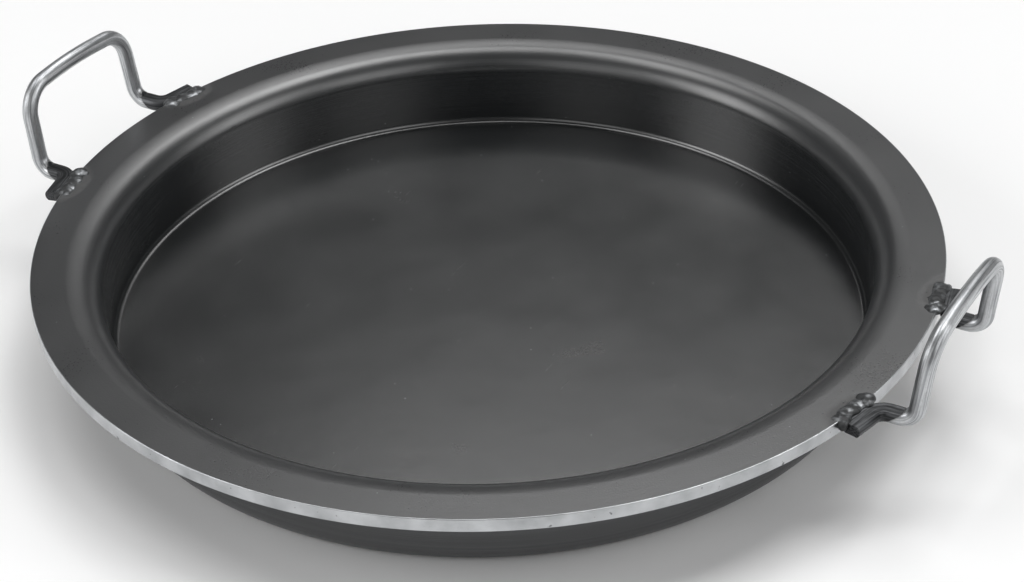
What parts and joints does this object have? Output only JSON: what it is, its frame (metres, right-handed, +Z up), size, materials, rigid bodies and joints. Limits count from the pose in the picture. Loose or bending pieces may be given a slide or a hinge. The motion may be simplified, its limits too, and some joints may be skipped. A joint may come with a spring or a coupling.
{
  "type": "two-handled steel pan",
  "caption": "Heavy round flat-bottomed pan pressed from black steel sheet, with a wide flange, a bright raw edge and welded bent-rod loop handles.",
  "frame": {"origin": "centre of the pan's underside, where it stands", "axes": "+Z up along the pan's axis; the two handles lie across X, the right one towards +X; -Y is the front"},
  "size_m": [0.4734, 0.42, 0.0878],
  "materials": {
    "black_sheet": "satin black mill scale, with a bright turned edge",
    "bright_rod": "satin drawn rod, blued black at the feet",
    "weld_metal": "lumpy arc weld with dark oxide and spatter"
  },
  "bodies": {
    "root": {"pan_body": "black_sheet", "handle_right": "bright_rod", "handle_left": "bright_rod", "weld_right_front_seam": "weld_metal", "weld_right_front_tack": "weld_metal", "weld_right_front_toe": "weld_metal", "weld_right_rear_seam": "weld_metal", "weld_right_rear_tack": "weld_metal", "weld_right_rear_toe": "weld_metal", "weld_left_front_seam": "weld_metal", "weld_left_front_tack": "weld_metal", "weld_left_front_toe": "weld_metal", "weld_left_rear_seam": "weld_metal", "weld_left_rear_tack": "weld_metal", "weld_left_rear_toe": "weld_metal"}
  },
  "joints": []
}
